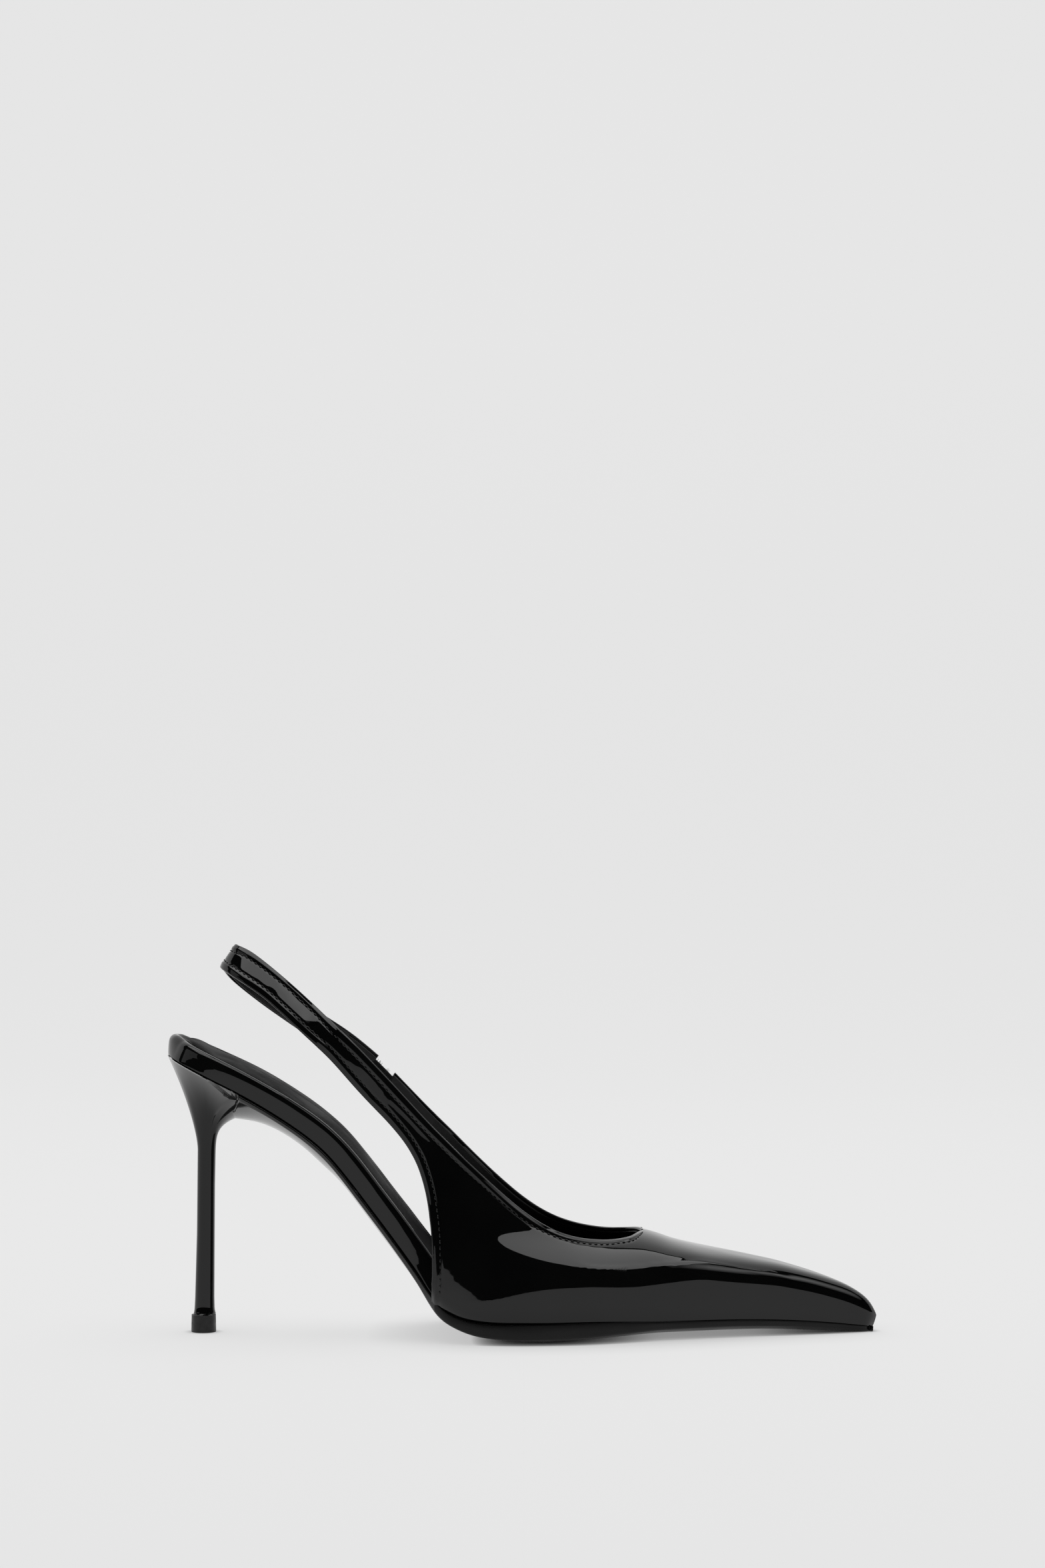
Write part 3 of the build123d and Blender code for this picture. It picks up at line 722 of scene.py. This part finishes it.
def wing_line(side):
    """The stitch line along the wing's back edge, on the upper's surface."""
    points = wing_path(np.linspace(0.02, 0.97, 200))
    along = unit(np.gradient(points, axis=0))
    inward = np.stack([-along[:, 1], along[:, 0]], 1)
    flat = points + inward * STITCH_INSET
    x, z = flat.T
    y = upper_y(x, z, side)
    slope_x = (upper_y(x + 0.3, z, side) - upper_y(x - 0.3, z, side)) / 0.6
    slope_z = (upper_y(x, z + 0.3, side) - upper_y(x, z - 0.3, side)) / 0.6
    n = unit(side * np.stack([-slope_x, np.ones_like(x), -slope_z], 1))
    return np.stack([x, y, z], 1) - n * 0.2, n


mesh = Mesh()
add_stitches(mesh, *outer_side.line(STITCH_INSET, outer_top, True))
add_stitches(mesh, *outer_side.line(STITCH_INSET, slice(0, OUTER_STRAP_ROWS), False))
add_stitches(mesh, *inner_side.line(STITCH_INSET, inner_top, True))
for side in (-1, 1):
    add_stitches(mesh, *wing_line(side))
stitches = mesh.build("stitching", THREAD)


# --- Elastic between the strap's inner end and the inner side of the vamp ---
ELASTIC_RIBS = 11
ELASTIC_HALF = 0.6


def elastic():
    """A ribbed band that shows for a few millimetres, with its ends between leather and lining."""
    strap = strap_grid(STRAP_LOW_INNER, STRAP_TOP_INNER, 1)[:28][::-1]
    vamp = vamp_grid(1)[:16]
    band = eased(np.concatenate([strap, vamp]), len(strap), 6)
    n = normals_of(band)
    n = np.where(n[..., 1:2] < 0, -n, n)
    across = np.linspace(4, band.shape[1] - 5, 90)

    def pick(values):
        rows = [[np.interp(across, np.arange(len(row)), c) for c in row.T] for row in values]
        return np.stack(rows).transpose(0, 2, 1)

    middle, up = pick(band), pick(n)
    rib = 0.14 * np.abs(np.sin(np.linspace(0, ELASTIC_RIBS * math.pi, len(across))))
    middle = middle - up * (LEATHER + 0.1)
    top = middle + up * (ELASTIC_HALF - 0.14 + rib)[None, :, None]
    low = middle - up * (ELASTIC_HALF - 0.14 + rib)[None, :, None]
    ring = np.concatenate([top, low[:, ::-1]], 1)
    mesh = Mesh()
    mesh.grid(ring, wrap=True, cap=True)
    for i in range(26):
        row, column = rng.integers(18, 30), rng.choice([0, 1, 2, 86, 87, 88, 89])
        base, n0 = middle[row, column], up[row, column]
        out = unit(middle[row, column] - middle[row, 45])
        along = unit(middle[row + 1, column] - middle[row - 1, column])
        tip = base + out * rng.uniform(0.3, 1.1) + along * rng.uniform(-0.8, 0.8) + n0 * rng.uniform(-0.4, 0.4)
        bend = (base + tip) / 2 + along * rng.uniform(-0.3, 0.3)
        rings = []
        for p, radius in ((base, 0.09), (bend, 0.08), (tip, 0.05)):
            rings.append([p + radius * (math.cos(a) * along + math.sin(a) * n0) for a in (0, 1.57, 3.14, 4.71)])
        mesh.grid(np.array(rings), wrap=True, cap=True)
    return mesh.build("elastic", ELASTIC)


elastic_band = elastic()

for piece in (upper, lining, stitches, elastic_band):
    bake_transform(piece)
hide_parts("vamp", "toe_puff", "strap_outer", "strap_tape")
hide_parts("vamp_lining", "strap_lining")
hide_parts("elastic_gore")


# --- Bottom: wrap, sock, outsole ---
SOLE_LIP = 0.9
WRAP_END = -27.5


def sole_half(x, side):
    """Half width of the sole's edge: its own outline behind the wing, a lip outside the upper in front."""
    own = outer_sole(x) if side < 0 else inner_sole(x)
    lip = SOLE_LIP * np.sqrt(np.clip((TOE_X + 0.3 - x) / 1.8, 0, 1))
    under_upper = np.abs(upper_y(x, seam_z(x), side)) + lip
    return own + (under_upper - own) * smoothstep(-33, -24, x)


def bed_half(x, side):
    """Half width of what lies on the sole, before the sock's inset: inside the wing in front."""
    inside = np.abs(upper_y(np.maximum(x, -34), seam_z(np.maximum(x, -34)) + 8, side)) - LEATHER - LINING - 0.3
    return np.minimum(sole_half(x, side), inside + 99 * smoothstep(-31, -38, x))


SEAT_CENTRE_X = HEEL_X + 24
BACK_BLUR = 3.5           # the heel's outline is rounded by blurring, which draws it in
BACK_PUSH = 1.2           # and it is pushed out again by this much at the back


def pushed_back(points):
    """Plan points moved away from the heel's middle near the back of the shoe."""
    away = unit(points - np.array([SEAT_CENTRE_X, 0]))
    return points + away * BACK_PUSH * smoothstep(-104, -119, points[:, :1])


def plan_outline(half, front, count=260):
    """Plan points and outward normals, from the inner side's front round the heel to the outer side's."""
    turn = np.linspace(0, math.pi / 2, 300)
    xs = HEEL_X + 0.02 + (front - HEEL_X) * (1 - np.cos(turn))
    inner = [(x, float(half(x, 1))) for x in xs[::-1]]
    outer = [(x, -float(half(x, -1))) for x in xs]
    smooth = path(inner + outer, blur=BACK_BLUR, count=2400)
    points = pushed_back(smooth(np.linspace(0, 1, count)))
    along = unit(np.gradient(points, axis=0))
    normals = np.stack([along[:, 1], -along[:, 0]], 1)
    if np.sum(normals[count // 2] * (points[count // 2] - points.mean(0))) < 0:
        normals = -normals
    return points, normals


def on_seat(points, normals, inset, height):
    """Points inset from the plan outline and raised square to the seat."""
    x, y = points.T
    slope = (seam_z(x + 1.5) - seam_z(x - 1.5)) / 3
    up = unit(np.stack([-slope, np.zeros_like(x), np.ones_like(x)], 1))
    out = np.stack([normals[:, 0], normals[:, 1], np.zeros_like(x)], 1)
    out = unit(out - np.sum(out * up, -1, keepdims=True) * up)
    base = np.stack([x, y, seam_z(x)], 1)
    return base - out * np.reshape(inset, (-1, 1)) + up * np.reshape(height, (-1, 1))


# Wrap's section: distance in from the sole's edge, height above the seam
WRAP_SECTION = [
    (3.4, 0.05), (1.1, 0.05), (0.78, 0.25), (0.6, 0.8), (0.45, 1.8), (0.28, 3), (0.14, 4.2), (0.06, 5.1),
    (0.08, 5.7), (0.22, 6.3),
    (0.5, 6.85), (0.95, 7.3), (1.5, 7.55), (2.05, 7.6), (2.55, 7.45), (2.95, 7.1), (3.25, 6.6), (3.5, 6.2),
    (3.9, 6), (4.1, 5),
]


WRAP_ROWS = 34
WRAP_LEAN, WRAP_BACK_OUT = 0.7, 0.5   # at the back, the wrap leans in towards its top from a little further out


def add_wrap():
    points, normals = plan_outline(bed_half, WRAP_END)
    back = smoothstep(-112, -121, points[:, 0])
    section = path(WRAP_SECTION, blur=0.12, count=400)(np.linspace(0, 1, WRAP_ROWS))
    rows = []
    for inset, height in section:
        lean_in = WRAP_LEAN * (height / 8) ** 1.5 - WRAP_BACK_OUT
        rows.append(on_seat(points, normals, inset + lean_in * back, height))
    grid = np.stack(rows, 1)
    flaw = waves(grid, 24, 21) * 0.07 + waves(grid, 9, 22) * 0.02
    grid = grid + normals_of(grid) * flaw[..., None]
    mesh = Mesh()
    mesh.grid(grid, wrap=True, cap=True)
    return mesh.build("insole_wrap_patent", PATENT)


SOCK_INSET, SOCK_LOW, SOCK_RISE = 3.75, 6.7, 1.1
SOCK_LIFT = 1.1           # how far the sock's back end curls up
SOCK_END = 62


def add_sock():
    """The padded sock: it swells from the wrap's inner edge to the middle of the foot."""
    points, normals = plan_outline(bed_half, SOCK_END, 420)
    ring = points - normals * SOCK_INSET
    centre = (ring + ring[::-1]) / 2
    centre[:, 0] = np.maximum(centre[:, 0], SEAT_CENTRE_X)
    share = np.concatenate([[0, 0.006, 0.014, 0.026, 0.045, 0.075], np.linspace(0.12, 1, 22)])
    rows = []
    for t in share:
        flat = ring + (centre - ring) * t
        height = SOCK_LOW + 0.7 * (1 - np.exp(-t / 0.02)) + SOCK_RISE * (1 - (1 - t) ** 2.2)
        rows.append(on_seat(flat, normals, 0, height + SOCK_LIFT * smoothstep(-107, -117, flat[:, 0])))
    for t in share[::-1]:
        flat = ring + (centre - ring) * t
        rows.append(on_seat(flat, normals, 0, np.full(len(flat), SOCK_LOW - 0.25)))
    grid = np.stack(rows, 1)
    top = slice(0, len(share))
    soft = waves(grid[:, top], 34, 31) * 0.16 + waves(grid[:, top], 13, 32) * 0.05
    grid[:, top, 2] += soft * smoothstep(0.02, 0.12, share)[None]
    mesh = Mesh()
    mesh.grid(grid)
    return mesh.build("sock_padded", SOCK_LEATHER, merge=0.01)


# Outsole's underside: its height along the middle, and the share of the width that stays flat as a power
UNDERSIDE = [
    (-105, 74), (-99, 73), (-91.9, 72.1), (-86, 70.2), (-80.3, 67.1), (-74.4, 63), (-69.6, 58.4), (-62, 51.4),
    (-50, 35.9), (-38, 20.5), (-28, 9.2), (-16, 2.5), (-4, 0.3), (8, 0), (25, 0.9), (48, 2.2), (75, 2.1),
    (105, 0.6), (TOE_X, 0.05),
]
WALL = [
    (-105, 1.2), (-60, 1.4), (-36, 1.8), (-26, 3.2), (-12, 4.7), (20, 4.7), (34, 3.7), (48, 2.5), (100, 1.9),
    (TOE_X, 1.1),
]
FLATNESS = [(-105, 2), (-50, 2), (-30, 3), (-10, 7), (30, 8), (70, 6), (TOE_X, 3)]
underside_z = profile(UNDERSIDE, blur=2)
SOLE_BACK = -98.4
TAIL_NARROWING = 10       # the sole's tail draws in by this much, to stay inside the heel
SOLE_SHARES = (0.985, 0.96, 0.92, 0.86, 0.78, 0.68, 0.55, 0.4, 0.2)   # of the half width, across the underside
LACQUER_END = -30         # the glossy waist ends and the tread begins here


def under_sole(x, y, side):
    """Height of the outsole's underside."""
    slope = (seam_z(x + 1) - seam_z(x - 1)) / 2
    wall_low = seam_z(x) - cubic(WALL, x) * np.sqrt(1 + slope ** 2)
    middle = np.minimum(underside_z(x), wall_low - 0.02)
    return middle + (wall_low - middle) * np.clip(np.abs(y) / sole_half(x, side), 0, 1) ** cubic(FLATNESS, x)


def add_outsole():
    turn = np.linspace(0, math.pi / 2, 330)
    xs = SOLE_BACK + (TOE_X + 0.05 - SOLE_BACK) * np.sin(turn) ** 1.15
    rows = []
    for x in xs:
        shift, ring = float(centre_y(x)), []
        for side in (-1, 1):
            half = float(sole_half(x, side)) - TAIL_NARROWING * float(smoothstep(-95.4, -98, x))
            top = float(seam_z(x))
            slope = float(seam_z(x + 1) - seam_z(x - 1)) / 2
            wall = float(cubic(WALL, np.array(x))) * math.sqrt(1 + slope ** 2)
            r = min(0.45, wall * 0.3, half * 0.2)
            near = [(half * 0.5, top), (max(half - 1.6, half * 0.6), top), (half - r * 0.6, top - 0.02),
                    (half - r * 0.15, top - r * 0.35), (half, top - r),
                    (half, top - wall * 0.6), (half - 0.08, top - wall * 0.85)]
            for share in SOLE_SHARES:
                y = half * share
                near.append((y, float(under_sole(np.array(x), np.array(y), side))))
            ring.append([(shift + side * y, z) for y, z in near])
        middle_low = (shift, float(under_sole(np.array(x), np.array(0.0), 1)))
        ring = ring[0] + [middle_low] + ring[1][::-1] + [(shift, float(seam_z(x)))]
        rows.append([(x, y, z) for y, z in ring])
    mesh = Mesh()
    mesh.grid(nosed(np.array(rows)), wrap=True, cap=True)
    sole = mesh.build("outsole_shaped", SOLE)
    sole.data.materials.append(WAIST)
    for face in sole.data.polygons:
        face.material_index = int(face.center.x / MM < LACQUER_END)
    return sole


# --- Heel ---
# Stem sections: height, back x, front x, half width
STEM = [
    (6.2, -112.7, -105.1, 3.8), (6.9, -112.55, -105.3, 3.6), (8, -112.4, -105.5, 3.4), (12, -112.2, -105.6, 3.2),
    (34, -111.6, -105.5, 3.05), (50, -111.45, -105.4, 3.1), (66, -111.3, -105.1, 3.2),
]
# Funnel by direction in degrees, 0 to the toe and 180 to the back: how late it flares, and where it starts
FLARE = [(0, 6), (45, 5.6), (64, 5), (72, 4.1), (80, 3.3), (92, 2.6), (125, 1.95), (150, 1.6), (180, 1.42)]
FUNNEL_FROM = [(0, 56), (64, 57), (90, 61), (180, 62.5)]
CORNER_X = -95.8


def stem_point(z, angle, side):
    back, front, half = (np.interp(z, [s[0] for s in STEM], [s[k] for s in STEM]) for k in (1, 2, 3))
    return (back + front) / 2 + (front - back) / 2 * math.cos(angle), side * half * math.sin(angle)


def heel_rim(side):
    """The heel's top edge on one side, from the middle of the back to the middle of the breast."""
    turn = np.linspace(0, math.pi / 2, 200)
    half = outer_sole if side < 0 else inner_sole
    xs = HEEL_X + 0.05 + (CORNER_X - HEEL_X) * (1 - np.cos(turn))
    right = [(x, float(half(x)) - 0.12) for x in xs]
    both = path([(x, -y) for x, y in right[::-1]] + right, blur=BACK_BLUR, count=3000)(np.linspace(0.5, 1, 70))
    outline = pushed_back(both)
    outline[0, 1] = 0
    rim = [(x, side * y, float(seam_z(x)) + 0.1) for x, y in outline]
    corner = abs(rim[-1][1])
    for share in np.linspace(0, 1, 40)[1:]:
        y = corner * (1 - share)
        x = CORNER_X - 1.6 * math.sin(share * math.pi / 2)
        rim.append((x, side * y, float(under_sole(np.array(x), np.array(y), side)) + 0.5))
    return rim


def add_heel():
    rims = [heel_rim(side) for side in (-1, 1)]
    columns = [(p, -1) for p in rims[0]] + [(p, 1) for p in rims[1][::-1][1:-1]]
    axis_x = float(np.interp(66, [s[0] for s in STEM], [(s[1] + s[2]) / 2 for s in STEM]))
    grid = []
    for (x, y, z), side in columns:
        angle = math.atan2(abs(y), x - axis_x)
        degrees = math.degrees(angle)
        flare = float(cubic(FLARE, np.array(degrees)))
        base = float(cubic(FUNNEL_FROM, np.array(degrees)))
        column = []
        for level in np.concatenate([np.linspace(6.2, 12, 8), np.linspace(14, base, 16)[:-1]]):
            column.append((*stem_point(level, angle, side), level))
        for v in np.linspace(0, 1, 44):
            level = base + (z - base) * v
            sx, sy = stem_point(level, angle, side)
            column.append((sx + (x - sx) * v ** flare, sy + (y - sy) * v ** flare, level))
        grid.append(column)
    grid = np.array(grid).transpose(1, 0, 2)
    mesh = Mesh()
    mesh.grid(grid, wrap=True, cap=True)
    return mesh.build("heel_patent", PATENT)


wrap, sock, outsole, heel = add_wrap(), add_sock(), add_outsole(), add_heel()
for piece, nodes, finish in (
    (wrap, ("insole_wrap", "insole_board"), "patent"),
    (sock, ("sock_lining", "footbed_foam"), "lining"),
    (outsole, ("outsole", "shank_board", "bottom_filler"), "sole"),
    (heel, ("heel_cover", "heel_core", "heel_nails"), "patent"),
):
    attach(piece, "shoe")
    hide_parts(*nodes)

SHOWN_CAD = {
    "heel_tip": TOP_PIECE, "steel_shank": STEEL, "shank_rivets": STEEL,
    "heel_tube": STEEL, "tip_dowel": STEEL, "heel_screw": STEEL,
}
for node, material in SHOWN_CAD.items():
    data = frame["nodes"][node].data
    data.materials.clear()
    data.materials.append(material)


# --- Camera, stage and light ---
CAMERA_DISTANCE, CAMERA_HEIGHT = 1.4, 0.1871
PICTURE_HEIGHT = 0.5358   # metres of the object's middle plane that the picture is high
SENSOR = 36.0
# Painted contact shadows, made by darkening the floor's glow with ambient occlusion: reach in metres, and the
# share of the floor's glow that each darkens
PAINTED_CONTACT_SHADOWS = [(0.003, 0.72), (0.025, 0.28)]


def paper_material(glow, reflect):
    """The pale stage: a mostly even glow, with a little real light so that the shoe throws a soft shadow, and the
    glow darkened by ambient occlusion near the shoe as a painted contact shadow.
    """
    material, tree, shader = new_material("studio_paper", (reflect,) * 3, 0.9)
    shader.inputs["Specular IOR Level"].default_value = 0.0
    shader.inputs["Emission Color"].default_value = (1, 1, 1, 1)
    total = None
    # Each ambient occlusion node darkens the floor's glow near the shoe: painted contact shadow.
    for reach, share in PAINTED_CONTACT_SHADOWS:
        near = tree.nodes.new("ShaderNodeAmbientOcclusion")
        near.inputs["Distance"].default_value = reach
        near.samples = 8
        part = tree.nodes.new("ShaderNodeMath")
        part.operation = "MULTIPLY_ADD"
        part.inputs[1].default_value = glow * share
        part.inputs[2].default_value = 0.0
        tree.links.new(near.outputs["AO"], part.inputs[0])
        if total is not None:
            tree.links.new(total, part.inputs[2])
        total = part.outputs["Value"]
    tree.links.new(total, shader.inputs["Emission Strength"])
    return material


def add_stage():
    """A floor that runs up into a wall behind the shoe."""
    width, front, back, top, bend = 12000, -5000, 1500, 2600, 500
    outline = [(front, 0), (back - bend, 0)]
    outline += [(back - bend + bend * math.sin(a), bend - bend * math.cos(a))
                for a in np.linspace(0.1, math.pi / 2, 12)]
    outline += [(back, top)]
    mesh = Mesh()
    mesh.grid(np.array([[(x, y, z) for x in (-width / 2, 0, width / 2)] for y, z in outline]))
    mesh.build("studio_sweep", paper_material(0.695, 0.175))


def add_area(name, place, look_at, size, power, lights_paper=False):
    light = bpy.data.lights.new(name, "AREA")
    light.shape = "RECTANGLE"
    light.size, light.size_y = size
    light.energy = power
    obj = bpy.data.objects.new(name, light)
    bpy.context.scene.collection.objects.link(obj)
    obj.location = place
    obj.rotation_euler = (Vector(look_at) - Vector(place)).to_track_quat("-Z", "Y").to_euler()
    obj.visible_diffuse = lights_paper
    return obj


def add_glow(name, place, look_at, size, radiance):
    """A panel that glows in its middle and fades to its edges; it shows in reflections only."""
    material = bpy.data.materials.new(name)
    material.use_nodes = True
    tree = material.node_tree
    tree.nodes.clear()
    fade = tree.nodes.new("ShaderNodeTexGradient")
    fade.gradient_type = "SPHERICAL"
    spread = tree.nodes.new("ShaderNodeVectorMath")
    spread.operation = "SCALE"
    spread.inputs["Scale"].default_value = 2 / size
    tree.links.new(coordinates(tree), spread.inputs[0])
    tree.links.new(spread.outputs["Vector"], fade.inputs["Vector"])
    power = tree.nodes.new("ShaderNodeMath")
    power.operation = "MULTIPLY"
    power.inputs[1].default_value = radiance
    tree.links.new(fade.outputs["Fac"], power.inputs[0])
    glow = tree.nodes.new("ShaderNodeEmission")
    tree.links.new(power.outputs["Value"], glow.inputs["Strength"])
    out = tree.nodes.new("ShaderNodeOutputMaterial")
    tree.links.new(glow.outputs["Emission"], out.inputs["Surface"])
    half = size / 2
    mesh = bpy.data.meshes.new(name)
    corners = [(-half, -half, 0), (half, -half, 0), (half, half, 0), (-half, half, 0)]
    mesh.from_pydata(corners, [], [(0, 1, 2, 3)])
    mesh.materials.append(material)
    panel = bpy.data.objects.new(name, mesh)
    bpy.context.scene.collection.objects.link(panel)
    panel.location = place
    panel.rotation_euler = (Vector(look_at) - Vector(place)).to_track_quat("-Z", "Y").to_euler()
    panel.visible_diffuse = panel.visible_shadow = panel.visible_camera = False


def add_camera():
    data = bpy.data.cameras.new("camera")
    data.sensor_width = SENSOR
    data.sensor_fit = "AUTO"
    data.lens = SENSOR * CAMERA_DISTANCE / PICTURE_HEIGHT
    camera = bpy.data.objects.new("camera", data)
    bpy.context.scene.collection.objects.link(camera)
    camera.location = (-0.0003, -CAMERA_DISTANCE, CAMERA_HEIGHT)
    camera.rotation_euler = (math.pi / 2, 0, 0)
    bpy.context.scene.camera = camera


add_stage()
add_camera()
add_area("top_softbox", (0, 0.15, 1.5), (0, 0.1, 0), (1.7, 1.2), 14, lights_paper=True)
add_area("left_panel", (-1.5, -0.3, 0.75), (0, 0, 0.1), (0.9, 0.9), 1.1)
add_glow("right_softbox", (1.33, -0.2, 1.42), (-0.09, -0.02, 0.12), 1.35, 2.5)
world = bpy.data.worlds.new("studio")
world.use_nodes = True
world.node_tree.nodes["Background"].inputs["Color"].default_value = (0.01, 0.01, 0.01, 1)
bpy.context.scene.world = world
bpy.context.scene.view_settings.view_transform = "Standard"
